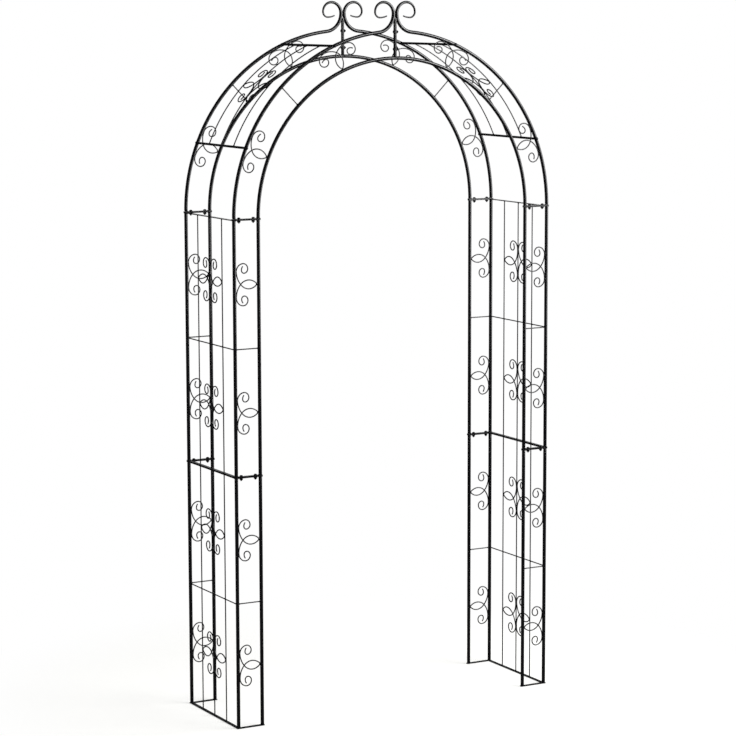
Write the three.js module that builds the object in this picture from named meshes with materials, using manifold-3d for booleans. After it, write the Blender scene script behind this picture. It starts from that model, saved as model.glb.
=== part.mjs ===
// A free-standing garden arch of black powder-coated steel, made to be bolted together. Each leg is two
// stacked sections, each of a front and a rear frame with a trellis between their outer posts. Two
// quarter-round halves meet at the crown, where their outer tubes curl out into finials.
// Millimetres, +Z up. The origin is on the ground, midway between the legs. X runs across the passage.

import * as THREE from 'three';
import { mergeVertices } from 'three/addons/utils/BufferGeometryUtils.js';
import Module from 'manifold-3d';

const wasm = await Module();
wasm.setup();

// The arch as a whole
const span = 1200; // between the outer posts, centre to centre
const depth = 368; // between the front and the rear posts
const bay = 88; // between the outer and the inner post of a frame
const sectionPitch = 848; // from the foot of a leg section to the foot of what stands on it
const fit = 0.3; // left between pieces that rest on each other

// Stock
const postDiameter = 12;
const postSides = 8;
const bentTubeSides = 6;
const crossbarDiameter = 8;
const crossbarSides = 6;
const wireDiameter = 4;
const wireSides = 4;
const flatWidth = 12;
const flatThickness = 3;
const flatOverhang = 1; // a flat's end past a post's side
const weldBite = wireDiameter / 4; // a welded wire sinks this far into what it meets

// Fasteners
const boltDiameter = 6;
const boltSides = 6;
const boltInset = 12; // from a post's side to the nearest bolt
const boltReach = 8.5; // past the flats on the nut's side
const holeClearance = 0.3; // all round a shank
const headDiameter = 11;
const headHeight = 4.5;
const headCrownShare = 0.62; // the flat top of the domed head
const nutAcrossFlats = 10;
const nutHeight = 5;

// Finials
const ogeeRadius = 62; // turns the outer tube up into the waist
const voluteRadius = 37.5; // the first quarter of the curl above the waist
const voluteShares = [1, 0.85, 0.5]; // each quarter's radius
const tailShare = 1.75; // the radius of the nearly straight end
const tailTurn = 24; // degrees
const taperShares = [0.75, 0.56, 0.46, 0.37]; // of the tube's width, after each arc above the waist

// Arch
const crossbarTurns = [22.5, 67.5]; // degrees from the spring line
const strutTurn = 45;
const crownBoltShares = [0.2, 0.59]; // of the way from the inner tube up to the waist

// Scrolls, bent to the left all the way from the loop's tip to the eye. The turns are in degrees.
const scrollLength = 138; // in the frames
const trellisScrollLength = 144;
const crossingGap = 0.5; // between the wires where the loop closes
const scrollArcs = [
  { radiusShare: 0.04, turn: 45, steps: 1 }, // the loop's tip
  { radiusShare: 0.53, turn: 90, steps: 3 }, // the loop's side
  { radiusShare: 0.82, turn: 45, steps: 2 }, // from the crossing to the post
  { radiusShare: 0.335, turn: 90, steps: 2 },
  { radiusShare: 0.227, turn: 90, steps: 2 },
  { radiusShare: 0.179, turn: 90, steps: 2 },
  { radiusShare: 0.128, turn: 90, steps: 2 }, // the eye
  { radiusShare: 0.25, turn: 42, steps: 1 }, // the wire's end
];

const degree = Math.PI / 180;
const quarter = Math.PI / 2;
const postRadius = postDiameter / 2;
const wireRadius = wireDiameter / 2;
const outerRadius = span / 2;
const innerRadius = outerRadius - bay;
const sectionHeight = sectionPitch - fit;
const springHeight = flatThickness / 2; // the bent tubes start half-way through their base flat
const postSeat = postRadius + wireRadius - weldBite; // a post's centre to a wire welded along it
const wireSeat = wireDiameter - weldBite; // a wire's centre to a wire welded along it
const waist = fit / 2 + postRadius; // the outer tube's centre where it nearly meets its twin
const ogeeTurn = Math.acos((waist + ogeeRadius) / (outerRadius + ogeeRadius));
const waistHeight = springHeight + (outerRadius + ogeeRadius) * Math.sin(ogeeTurn);
const flatLength = bay + postDiameter + 2 * flatOverhang; // under and over a frame
const outerStep = 5.625 * degree; // the longest step along the outer tube
const innerStep = 7.5 * degree; // along the inner tube and the roof's wires
const curlStep = 22.5 * degree; // along the finials
const alongX = new THREE.Vector3(1, 0, 0);
const alongY = new THREE.Vector3(0, 1, 0);
const alongZ = new THREE.Vector3(0, 0, 1);

const steel = new THREE.MeshStandardMaterial({ color: 0x17181a, roughness: 0.42, metalness: 0.35 });
const fastenerSteel = new THREE.MeshStandardMaterial({ color: 0x202225, roughness: 0.36, metalness: 0.6 });

// A curve through stations that gives each of them one step, however far apart they lie. A section
// carried along it keeps its first axis towards the given direction, so that it never twists, and has the
// given share of its width.
class Route extends THREE.CatmullRomCurve3 {
  constructor(stations, facings, widthShares) {
    super(stations);
    this.facings = facings;
    this.widthShares = widthShares;
  }

  getUtoTmapping(share) {
    return share;
  }

  computeFrenetFrames(steps) {
    const tangents = this.facings.map((_, station) => this.getTangentAt(station / steps));
    const binormals = tangents.map((tangent, station) =>
      new THREE.Vector3()
        .crossVectors(tangent, this.facings[station])
        .setLength(this.widthShares[station]),
    );
    const normals = tangents.map((tangent, station) =>
      new THREE.Vector3().crossVectors(binormals[station], tangent),
    );
    return { tangents, normals, binormals };
  }
}

// The corners of a regular outline round a circle, with a flat that faces the second axis.
function cornersRound(radius, sides) {
  const cornerRadius = radius / Math.cos(Math.PI / sides);
  return Array.from({ length: sides }, (_, corner) => {
    const turn = quarter + ((corner + 1 / 2) * 2 * Math.PI) / sides;
    return new THREE.Vector2(cornerRadius * Math.cos(turn), cornerRadius * Math.sin(turn));
  });
}

function roundHole(centre, radius, sides) {
  return new THREE.Path(cornersRound(radius, sides).map((corner) => corner.add(centre)));
}

function solid(geometry) {
  const bare = geometry.index ? geometry.toNonIndexed() : geometry.clone();
  bare.deleteAttribute('normal');
  bare.deleteAttribute('uv');
  const merged = mergeVertices(bare);
  const vertProperties = new Float32Array(merged.attributes.position.array);
  const triVerts = new Uint32Array(merged.index.array);
  return new wasm.Manifold(new wasm.Mesh({ numProp: 3, vertProperties, triVerts }));
}

function joined(solids) {
  const mesh = solids.reduce((whole, piece) => whole.add(piece)).getMesh();
  const geometry = new THREE.BufferGeometry();
  geometry.setAttribute('position', new THREE.BufferAttribute(new Float32Array(mesh.vertProperties), 3));
  geometry.setIndex(new THREE.BufferAttribute(new Uint32Array(mesh.triVerts), 1));
  geometry.computeVertexNormals();
  return geometry;
}

// A bar of the given section through stations. The section's first axis is towards facing, which is one
// direction or a list with one for each station. The width shares taper it.
function bar(stations, corners, facing, widthShares = stations.map(() => 1)) {
  const facings = stations.map((_, station) => facing[station] ?? facing);
  const extrudePath = new Route(stations, facings, widthShares);
  const steps = stations.length - 1;
  const section = new THREE.Shape(corners);
  return solid(new THREE.ExtrudeGeometry(section, { extrudePath, steps, bevelEnabled: false }));
}

function wire(stations, facing) {
  return bar(stations, cornersRound(wireRadius, wireSides), facing);
}

// A scroll's wire has three sides, one of them along the scroll's plane, where it is as wide as the wire
// is thick. Its stations each have a point and the direction out of that plane.
function scrollWire(stations) {
  const cornerRadius = wireRadius / Math.sin(Math.PI / 3);
  const corners = [0, 1, 2].map((corner) => {
    const turn = (corner * 2 * Math.PI) / 3;
    return new THREE.Vector2(cornerRadius * Math.cos(turn), cornerRadius * Math.sin(turn));
  });
  return bar(stations.map(({ point }) => point), corners, stations.map(({ facing }) => facing));
}

// A flat bar along X, centred, with its underside at z = 0. The holes are places along it.
function flatBar(length, holes) {
  const halfLength = length / 2;
  const halfWidth = flatWidth / 2;
  const outline = new THREE.Shape([
    new THREE.Vector2(-halfLength, -halfWidth),
    new THREE.Vector2(halfLength, -halfWidth),
    new THREE.Vector2(halfLength, halfWidth),
    new THREE.Vector2(-halfLength, halfWidth),
  ]);
  const holeRadius = boltDiameter / 2 + holeClearance;
  outline.holes = holes.map((place) => roundHole(new THREE.Vector2(place, 0), holeRadius, boltSides));
  return new THREE.ExtrudeGeometry(outline, { depth: flatThickness, bevelEnabled: false });
}

// Stations along arcs that run on from one another without a kink. An arc is a radius, a turn in
// radians, positive to the left, and a number of steps.
function arcChain(start, heading, arcs) {
  const stations = [start];
  let at = start;
  let facing = heading;
  for (const { radius, turn, steps } of arcs) {
    const arm = radius * Math.sign(turn);
    const centre = new THREE.Vector2(at.x - arm * Math.sin(facing), at.y + arm * Math.cos(facing));
    for (let step = 1; step <= steps; step += 1) {
      const ahead = facing + (turn * step) / steps;
      stations.push(new THREE.Vector2(centre.x + arm * Math.sin(ahead), centre.y - arm * Math.cos(ahead)));
    }
    at = stations[stations.length - 1];
    facing += turn;
  }
  return stations;
}

// A scroll is one wire, mirrored about its middle. Each station has a place along the scroll, a place
// across it, from 0 where the wire runs along its carrier to the width at the loop's tip, and a lift out
// of its plane, which takes one side of the loop over the other where they cross.
function scrollStations(length, width) {
  const arcs = scrollArcs.map(({ radiusShare, turn, steps }) => ({
    radius: radiusShare,
    turn: turn * degree,
    steps,
  }));
  const half = arcChain(new THREE.Vector2(), quarter, arcs);
  const widest = Math.min(...half.map((point) => point.x));
  const longest = Math.min(...half.map((point) => point.y));
  const seat = half.findIndex((point) => point.x === widest);
  const stations = half.map((point, index) => ({
    along: (point.y / longest) * (length / 2),
    across: width * (1 - point.x / widest),
    lift: index < seat ? (wireRadius + crossingGap) * Math.sin((Math.PI * index) / seat) : 0,
  }));
  const mirrored = stations.slice(1).map(({ along, across, lift }) => ({
    along: -along,
    across,
    lift: -lift,
  }));
  return [...mirrored.reverse(), ...stations];
}

// The bent outer tube runs up into the finial, which tapers from the waist on.
function outerTube() {
  const volute = voluteShares.map((share) => ({ radius: share * voluteRadius, turn: -quarter }));
  const finial = [
    ...volute.map((arc) => ({ ...arc, steps: Math.ceil(quarter / curlStep) })),
    { radius: tailShare * voluteRadius, turn: -tailTurn * degree, steps: 1 },
  ];
  const arcs = [
    { radius: outerRadius, turn: ogeeTurn, steps: Math.ceil(ogeeTurn / outerStep) },
    { radius: ogeeRadius, turn: -ogeeTurn, steps: Math.ceil(ogeeTurn / curlStep) },
    ...finial.map((arc, index) => ({ ...arc, widthShare: taperShares[index] })),
  ];
  const widthShares = [1];
  for (const { steps, widthShare = 1 } of arcs) {
    const before = widthShares[widthShares.length - 1];
    for (let step = 1; step <= steps; step += 1) {
      widthShares.push(before + ((widthShare - before) * step) / steps);
    }
  }
  return bentTube(outerRadius, arcs, widthShares);
}

// The bent inner tube ends in the middle of the crown flat.
function innerTube() {
  const turn = Math.acos((fit / 2 + flatThickness / 2) / innerRadius);
  const steps = Math.ceil(turn / innerStep);
  return bentTube(innerRadius, [{ radius: innerRadius, turn, steps }]);
}

// A tube in the plane of its frame, which starts upright from the base flat.
function bentTube(startRadius, arcs, widthShares) {
  const chain = arcChain(new THREE.Vector2(startRadius, springHeight), quarter, arcs);
  const stations = chain.map((point) => new THREE.Vector3(point.x, 0, point.y));
  return bar(stations, cornersRound(postRadius, bentTubeSides), alongY, widthShares);
}

function onArch(radius, turn, y) {
  return new THREE.Vector3(radius * Math.cos(turn), y, springHeight + radius * Math.sin(turn));
}

// A leg frame: two posts between end flats, a strut at half height and a scroll in each half. The outer
// post's axis is at x = 0 and the inner post is towards -X.
function legFrame() {
  const postTop = sectionHeight - flatThickness / 2;
  const posts = [0, -bay].map((x) => {
    const ends = [new THREE.Vector3(x, 0, flatThickness / 2), new THREE.Vector3(x, 0, postTop)];
    return bar(ends, cornersRound(postRadius, postSides), alongY);
  });
  const holePlace = bay / 2 - postRadius - boltInset;
  const flats = [0, sectionHeight - flatThickness].map((z) =>
    solid(flatBar(flatLength, [-holePlace, holePlace]).translate(-bay / 2, 0, z)),
  );
  const middle = sectionHeight / 2;
  const strut = wire([new THREE.Vector3(0, 0, middle), new THREE.Vector3(-bay, 0, middle)], alongY);
  const scrolls = [middle / 2, middle + middle / 2].map((centre) =>
    scrollWire(
      scrollStations(scrollLength, bay - 2 * postSeat).map(({ along, across, lift }) => ({
        point: new THREE.Vector3(-postSeat - across, lift, centre + along),
        facing: alongY,
      })),
    ),
  );
  return joined([...posts, ...flats, strut, ...scrolls]);
}

// A leg trellis: three upright wires between end flats, a cross wire at half height, and in each half two
// scrolls back to back on the middle wire. It lies in the plane x = 0.
function legTrellis() {
  const length = depth - flatWidth - 2 * fit;
  const flats = [0, sectionHeight - flatThickness].map((z) =>
    solid(new THREE.BoxGeometry(flatWidth, length, flatThickness).translate(0, 0, z + flatThickness / 2)),
  );
  const wirePitch = depth / 4;
  const uprights = [-wirePitch, 0, wirePitch].map((y) => {
    const ends = [flatThickness / 2, sectionHeight - flatThickness / 2];
    return wire(ends.map((z) => new THREE.Vector3(0, y, z)), alongX);
  });
  const middle = sectionHeight / 2;
  const end = depth / 2 - postRadius - fit;
  const cross = wire([-end, end].map((y) => new THREE.Vector3(wireSeat, y, middle)), alongX);
  const scrolls = [middle / 2, middle + middle / 2].flatMap((centre) =>
    [-1, 1].map((side) =>
      scrollWire(
        scrollStations(trellisScrollLength, wirePitch - 2 * wireSeat).map(({ along, across, lift }) => ({
          point: new THREE.Vector3(lift, side * (wireSeat + across), centre + along),
          facing: alongX,
        })),
      ),
    ),
  );
  return joined([...flats, ...uprights, cross, ...scrolls]);
}

// An arch frame: the bent outer and inner tubes on a base flat, the crown flat that joins them to the
// other half, a strut, two scrolls and the heads of the screws that hold the roof's crossbars. The arch's
// axis is at x = 0, the frame lies in the plane y = 0 and the heads face outward, 1 for +Y and -1 for -Y.
function archFrame(outward) {
  const holePlace = bay / 2 - postRadius - boltInset;
  const base = flatBar(flatLength, [-holePlace, holePlace]).translate(outerRadius - bay / 2, 0, 0);
  const strutEnds = [innerRadius, outerRadius].map((radius) => onArch(radius, strutTurn * degree, 0));
  const strut = wire(strutEnds, alongY);
  const middleRadius = outerRadius - bay / 2;
  const scrolls = crossbarTurns.map((centre) =>
    scrollWire(
      scrollStations(scrollLength, bay - 2 * postSeat).map(({ along, across, lift }) => ({
        point: onArch(outerRadius - postSeat - across, centre * degree + along / middleRadius, lift),
        facing: alongY,
      })),
    ),
  );
  const heads = crossbarTurns.map((turn) => {
    const place = onArch(outerRadius, turn * degree, outward * postRadius);
    const head = domedHead(boltDiameter, postRadius).rotateX(outward > 0 ? 0 : Math.PI);
    return solid(head.translate(place.x, place.y, place.z));
  });
  return joined([outerTube(), innerTube(), solid(base), solid(crownFlat()), strut, ...scrolls, ...heads]);
}

// The crown flat stands on edge beside x = 0, from under the inner tube up to where the outer tube, on
// its way to the waist, has come over most of its thickness.
function crownFlat() {
  const bottom = springHeight + innerRadius - flatWidth / 2;
  const meetingTurn = Math.acos(1 - (flatThickness - weldBite) / ogeeRadius);
  const length = waistHeight - ogeeRadius * Math.sin(meetingTurn) - bottom;
  const holes = crownBoltHeights().map((height) => height - bottom - length / 2);
  return flatBar(length, holes)
    .rotateY(-quarter)
    .translate(fit / 2 + flatThickness, 0, bottom + length / 2);
}

function crownBoltHeights() {
  const innerTop = springHeight + innerRadius;
  return crownBoltShares.map((share) => innerTop + share * (waistHeight - innerTop));
}

// The roof trellis: two round crossbars between the outer tubes, three bent wires from one to the other,
// and two scrolls back to back on the middle wire.
function roofTrellis() {
  const crossbarEnd = depth / 2 - postRadius / Math.cos(Math.PI / bentTubeSides) - fit;
  const crossbars = crossbarTurns.map((turn) => {
    const ends = [-crossbarEnd, crossbarEnd].map((y) => onArch(outerRadius, turn * degree, y));
    return bar(ends, cornersRound(crossbarDiameter / 2, crossbarSides), alongZ);
  });
  const endTurn = (crossbarDiameter / 2 - weldBite) / outerRadius;
  const [first, last] = [crossbarTurns[0] * degree + endTurn, crossbarTurns[1] * degree - endTurn];
  const steps = Math.ceil((last - first) / innerStep);
  const turns = Array.from({ length: steps + 1 }, (_, step) => first + ((last - first) * step) / steps);
  const wirePitch = depth / 4;
  const wires = [-wirePitch, 0, wirePitch].map((y) =>
    wire(turns.map((turn) => onArch(outerRadius, turn, y)), alongY),
  );
  const scrolls = [-1, 1].map((side) =>
    scrollWire(
      scrollStations(trellisScrollLength, wirePitch - 2 * wireSeat).map(({ along, across, lift }) => {
        const turn = strutTurn * degree + along / outerRadius;
        return {
          point: onArch(outerRadius + lift, turn, side * (wireSeat + across)),
          facing: new THREE.Vector3(Math.cos(turn), 0, Math.sin(turn)),
        };
      }),
    ),
  );
  return joined([...crossbars, ...wires, ...scrolls]);
}

// A domed head along Y over a shank of the given diameter and length. Its underside is at y = 0.
function domedHead(shankDiameter, shankLength) {
  const profile = [
    [0, -shankLength],
    [shankDiameter / 2, -shankLength],
    [shankDiameter / 2, 0],
    [headDiameter / 2, 0],
    [(headCrownShare * headDiameter) / 2, headHeight],
    [0, headHeight],
  ].map(([radius, height]) => new THREE.Vector2(radius, height));
  return new THREE.LatheGeometry(profile, boltSides);
}

// A domed bolt along Z, with the underside of its head at z = 0.
function bolt() {
  const length = fit + flatThickness + fit + flatThickness + boltReach;
  return domedHead(boltDiameter, length).rotateX(quarter);
}

// A hexagon nut with its top face at z = 0.
function nut() {
  const outline = new THREE.Shape(cornersRound(nutAcrossFlats / 2, 6));
  outline.holes = [roundHole(new THREE.Vector2(), boltDiameter / 2 + holeClearance, boltSides)];
  const geometry = new THREE.ExtrudeGeometry(outline, { depth: nutHeight, bevelEnabled: false });
  return geometry.translate(0, 0, -nutHeight);
}

function addMesh(parent, name, geometry, material, position) {
  const mesh = new THREE.Mesh(geometry, material);
  mesh.name = name;
  mesh.position.copy(position);
  parent.add(mesh);
  return mesh;
}

const geometries = {
  legFrame: legFrame(),
  legTrellis: legTrellis(),
  archFrames: { '1': archFrame(1), '-1': archFrame(-1) },
  roofTrellis: roofTrellis(),
  bolt: bolt(),
  nut: nut(),
};

const sides = [
  { side: 'left', turn: Math.PI },
  { side: 'right', turn: 0 },
];
const sections = ['lower', 'upper'];
const joints = ['mid', 'top'];

// One side of the arch faces +X. The other is the same pieces turned about, so its front is at +Y first.
function sideOfArch({ side, turn }) {
  const group = new THREE.Group();
  group.rotation.z = turn;
  const towardsFront = -Math.cos(turn);
  const frames = [
    { row: 'front', y: (towardsFront * depth) / 2 },
    { row: 'rear', y: (-towardsFront * depth) / 2 },
  ];
  sections.forEach((section, level) => {
    const foot = level * sectionPitch;
    const name = `${side}_${section}`;
    for (const { row, y } of frames) {
      const place = new THREE.Vector3(outerRadius, y, foot);
      addMesh(group, `${name}_${row}_frame`, geometries.legFrame, steel, place);
    }
    const place = new THREE.Vector3(outerRadius, 0, foot);
    addMesh(group, `${name}_side_trellis`, geometries.legTrellis, steel, place);
  });
  const spring = sections.length * sectionPitch;
  for (const { row, y } of frames) {
    const place = new THREE.Vector3(0, y, spring);
    addMesh(group, `${side}_arch_${row}_frame`, geometries.archFrames[Math.sign(y)], steel, place);
  }
  addMesh(group, `${side}_arch_roof_trellis`, geometries.roofTrellis, steel, new THREE.Vector3(0, 0, spring));
  joints.forEach((joint, level) => {
    for (const { row, y } of frames) {
      addJointBolts(group, `${side}_${joint}_${row}`, y, (level + 1) * sectionPitch);
    }
  });
  return group;
}

// The two bolts that hold one frame on the frame below it.
function addJointBolts(group, name, y, level) {
  const inset = postRadius + boltInset;
  const places = { outer: outerRadius - inset, inner: innerRadius + inset };
  for (const [place, x] of Object.entries(places)) {
    const head = new THREE.Vector3(x, y, level + flatThickness + fit);
    const seat = new THREE.Vector3(x, y, level - fit - flatThickness - fit);
    addMesh(group, `${name}_${place}_bolt`, geometries.bolt, fastenerSteel, head);
    addMesh(group, `${name}_${place}_nut`, geometries.nut, fastenerSteel, seat);
  }
}

// The bolts through the two halves' crown flats, with their heads to the left.
function crownBolts() {
  const group = new THREE.Group();
  const seat = fit / 2 + flatThickness + fit;
  for (const [row, y] of [['front', -depth / 2], ['rear', depth / 2]]) {
    crownBoltHeights().forEach((height, index) => {
      const name = `crown_${row}_${sections[index]}`;
      const z = sections.length * sectionPitch + height;
      const head = new THREE.Vector3(-seat, y, z);
      const nutPlace = new THREE.Vector3(seat, y, z);
      addMesh(group, `${name}_bolt`, geometries.bolt, fastenerSteel, head).rotation.y = -quarter;
      addMesh(group, `${name}_nut`, geometries.nut, fastenerSteel, nutPlace).rotation.y = -quarter;
    });
  }
  return group;
}

const gardenArch = new THREE.Group();
gardenArch.add(...sides.map(sideOfArch), crownBolts());

export default gardenArch;
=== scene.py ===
# A knock-down garden arch of black powder-coated steel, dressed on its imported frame.
# Lengths are in millimetres until a piece is made. X runs across the passage and -Y is the front.
import math

import bpy
import numpy as np
from mathutils import Matrix, Vector


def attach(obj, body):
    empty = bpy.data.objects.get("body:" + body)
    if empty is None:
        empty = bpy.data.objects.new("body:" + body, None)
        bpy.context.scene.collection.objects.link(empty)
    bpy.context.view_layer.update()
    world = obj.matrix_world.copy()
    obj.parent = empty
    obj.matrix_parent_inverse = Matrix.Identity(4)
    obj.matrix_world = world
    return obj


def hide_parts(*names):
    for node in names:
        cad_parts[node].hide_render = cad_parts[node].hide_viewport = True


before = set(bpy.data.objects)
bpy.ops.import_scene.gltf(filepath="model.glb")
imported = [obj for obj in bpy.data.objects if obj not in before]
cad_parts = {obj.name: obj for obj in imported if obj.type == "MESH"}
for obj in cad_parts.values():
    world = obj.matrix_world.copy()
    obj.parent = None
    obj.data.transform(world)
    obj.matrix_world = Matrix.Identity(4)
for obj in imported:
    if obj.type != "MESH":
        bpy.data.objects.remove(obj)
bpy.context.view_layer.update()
print("frame:", len(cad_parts), "nodes")

arch = {
    "span": 1200.0,  # between the outer posts
    "depth": 368.0,  # between the front and the rear posts
    "bay": 88.0,  # between the posts of one frame
    "sectionPitch": 848.0,  # from one leg section to the next
    "fit": 0.3,  # gap between pieces that rest on each other
    "postRadius": 6.0,
    "postSides": 40,
    "wireRadius": 2.0,
    "wireSides": 16,
    "weldBite": 1.0,  # how far a welded wire sinks into what it meets
    "flatThickness": 3.0,
    "crossbarTurns": (22.5, 67.5),  # degrees up from the spring line
    "strutTurn": 45.0,
    "seed": 7,  # for the ripples of the welds and the turns of the fasteners
}
outerRadius = arch["span"] / 2
innerRadius = outerRadius - arch["bay"]
springHeight = arch["flatThickness"] / 2  # the bent tubes start in the middle of their base flat
springLevel = 2 * arch["sectionPitch"]
sectionHeight = arch["sectionPitch"] - arch["fit"]
postSeat = arch["postRadius"] + arch["wireRadius"] - arch["weldBite"]  # a wire welded on a post
wireSeat = 2 * arch["wireRadius"] - arch["weldBite"]  # a wire welded on a wire
wirePitch = arch["depth"] / 4
perMetre = 1000.0
alongX, alongY, alongZ = np.eye(3)
chance = np.random.default_rng(arch["seed"])


# Surfaces. A shell is points, quads, polygons of more corners, and whether its quads are smooth.


# A grid of points as quads. Every row is a closed ring, the caps are polygons that close the first
# and the last ring, and flip turns the faces round.
def gridShell(points, smooth=True, flip=False, caps=True):
    rows, columns = points.shape[:2]
    index = np.arange(rows * columns).reshape(rows, columns)
    ahead = np.roll(index, -1, axis=1)
    quads = np.stack([index[:-1], ahead[:-1], ahead[1:], index[1:]], axis=-1).reshape(-1, 4)
    polygons = [index[0, ::-1].tolist(), index[-1].tolist()] if caps else []
    if flip:
        quads = quads[:, ::-1]
        polygons = [polygon[::-1] for polygon in polygons]
    points = points.reshape(-1, 3)
    return {"points": points, "quads": quads, "polygons": polygons, "smooth": smooth}


# Several shells as one, with the numbers of their corners counted on.
def mergedShells(shells):
    starts = np.cumsum([0] + [len(shell["points"]) for shell in shells[:-1]]).tolist()
    numbered = list(zip(shells, starts))
    smooth = [np.full(len(shell["quads"]), shell["smooth"]) for shell in shells]
    return {
        "points": np.concatenate([shell["points"] for shell in shells]),
        "quads": np.concatenate([shell["quads"] + start for shell, start in numbered]),
        "polygons": [
            [corner + start for corner in polygon]
            for shell, start in numbered
            for polygon in shell["polygons"]
        ],
        "smooth": np.concatenate(smooth),
    }


# The matrix that turns points about an axis.
def turnAbout(axis, degrees):
    return np.array(Matrix.Rotation(math.radians(degrees), 3, axis))


# A shell turned by a matrix and then moved.
def placed(shell, turn=None, move=(0.0, 0.0, 0.0)):
    points = shell["points"] if turn is None else shell["points"] @ np.asarray(turn).T
    return {**shell, "points": points + np.asarray(move, dtype=float)}


# Vectors divided by their own lengths.
def unit(vectors):
    return vectors / np.linalg.norm(vectors, axis=-1, keepdims=True)


# Distances along a path from its start.
def lengthsAlong(path):
    steps = np.linalg.norm(np.diff(path, axis=0), axis=1)
    return np.concatenate([[0.0], np.cumsum(steps)])


# What a path carries, at new distances along it, each worked out between its two neighbours.
def valuesAt(values, lengths, places):
    return np.stack([np.interp(places, lengths, values[:, axis]) for axis in range(3)], axis=1)


bar = {
    "endRound": 0.3,  # length of a rounded end, in radii
    "endRings": 4,
    "endClear": 1.02,  # the path's own rings start at this many times that length
    "leastShare": 0.03,  # of the radius, so that the ring at a tip stays open
    "straightRings": 9,
}


# A round bar along a path. Each point is the path's point plus radius x width share x (cosine of
# the turn x the axis nearest to facing + sine x the axis square to that and to the path). At each
# end the radius grows from the cut face along a quarter circle, which is endRound x radius long.
def roundBar(path, facing, radius, sides, shares=None, endRound=bar["endRound"]):
    path = np.asarray(path, dtype=float)
    lengths = lengthsAlong(path)
    shares = np.ones(len(path)) if shares is None else np.asarray(shares, dtype=float)
    rings, clear = bar["endRings"], bar["endClear"]
    rise = np.linspace(0, math.pi / 2, rings)
    startRound, finishRound = endRound * radius * shares[0], endRound * radius * shares[-1]
    inside = (lengths > startRound * clear) & (lengths < lengths[-1] - finishRound * clear)
    starting = startRound * (1 - np.cos(rise))
    finishing = lengths[-1] - finishRound * (1 - np.cos(rise[::-1]))
    places = np.concatenate([starting, lengths[inside], finishing])
    widths = np.interp(places, lengths, shares)
    growth = np.maximum(1 - endRound + endRound * np.sin(rise), bar["leastShare"])
    widths[:rings] *= growth
    widths[-rings:] *= growth[::-1]
    tangents = valuesAt(np.gradient(path, lengths, axis=0), lengths, places)
    facings = np.broadcast_to(np.asarray(facing, dtype=float), path.shape)
    second = unit(np.cross(tangents, valuesAt(facings, lengths, places)))
    first = unit(np.cross(second, tangents))
    turns = np.linspace(0, 2 * math.pi, sides, endpoint=False)
    ring = np.cos(turns)[:, None] * first[:, None] + np.sin(turns)[:, None] * second[:, None]
    centres = valuesAt(path, lengths, places)[:, None]
    return gridShell(centres + (radius * widths)[:, None, None] * ring, flip=True)


# A straight round bar with rings at even distances.
def straightBar(start, end, facing, radius, sides, endRound=bar["endRound"]):
    share = np.linspace(0, 1, bar["straightRings"])[:, None]
    path = np.asarray(start, dtype=float) * (1 - share) + np.asarray(end, dtype=float) * share
    return roundBar(path, facing, radius, sides, endRound=endRound)


# Points round an upright line at x: (x + radius x cosine, radius x sine, level) of each turn, with
# one row for each radius and level.
def ringsRound(turns, radius, level, x=0.0):
    radius, level, turns = np.broadcast_arrays(radius, level, turns)
    return np.stack([x + radius * np.cos(turns), radius * np.sin(turns), level], axis=-1)


# A surface of revolution round Z. Every row of the profile is a radius and a height, from the
# bottom up. At a pole a small ring is left, and a cap closes it.
def turned(profile, sides, pole=0.02):
    profile = np.asarray(profile, dtype=float)
    turns = np.linspace(0, 2 * math.pi, sides, endpoint=False)
    return gridShell(ringsRound(turns, np.maximum(profile[:, :1], pole), profile[:, 1:]))


# Points along arcs that run on from one another without a kink. An arc is a radius, a turn in
# radians, positive to the left, and a number of steps. Its points are its centre plus the radius x
# (sine, minus cosine) of the heading there.
def arcChain(start, heading, arcs):
    parts = [np.array([start], dtype=float)]
    for radius, turn, steps in arcs:
        arm = math.copysign(radius, turn)
        centre = parts[-1][-1] + arm * np.array([-math.sin(heading), math.cos(heading)])
        ahead = heading + turn * np.arange(1, steps + 1) / steps
        parts.append(centre + arm * np.stack([np.sin(ahead), -np.cos(ahead)], axis=1))
        heading += turn
    return np.concatenate(parts)


# Welds

weld = {
    "rings": 15,
    "sides": 10,
    "rippleShare": 0.09,  # of the width
    "leastShare": 0.004,  # of the width squared, so that the rings at its ends stay open
    "endRound": 0.01,
    "facing": (0.3, 0.5, 0.8),  # any direction that no scroll runs along
    # half length, radius and number of ripples of each kind
    "foot": (4.6, 1.7, 4),  # a post on its flat
    "post": (5.5, 2.7, 3),  # a scroll's side on a post or wire
    "tip": (4.5, 2.6, 3),  # a scroll's loop on the far post or wire
    "crossing": (3.2, 2.9, 1),  # a scroll's wire where it crosses itself
    "wire": (3.4, 2.7, 1),  # a wire's end
    "wireCrossing": (3.4, 2.6, 1),  # two wires across each other
    "roofWire": (3.2, 2.6, 1),  # a roof wire's end on a crossbar
}
# How far the middle of a weld stands out from the post, flat or crossbar that it is on. A scroll's
# weld is this far from the middle of its wire, towards what carries it.
weldOffset = {"foot": 0.6, "strut": 0.5, "wire": 0.4, "roofWire": 0.6, "scroll": 1.2}


# A weld bead: a round bar whose width follows a half circle along it, times a ripple, because the
# pool freezes ring by ring.
def bead(kind, centre, axis, facing):
    halfLength, radius, ripples = weld[kind]
    share = np.linspace(-1, 1, weld["rings"])
    along = share[:, None] * np.asarray(axis, dtype=float)
    path = np.asarray(centre, dtype=float) + halfLength * along
    phase = chance.uniform(0, 2 * math.pi)
    swell = 1 + weld["rippleShare"] * np.sin(ripples * math.pi * share + phase)
    widths = np.sqrt(np.maximum(1 - share**2, weld["leastShare"])) * swell
    return roundBar(path, facing, radius, weld["sides"], widths, weld["endRound"])


# Flats

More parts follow.
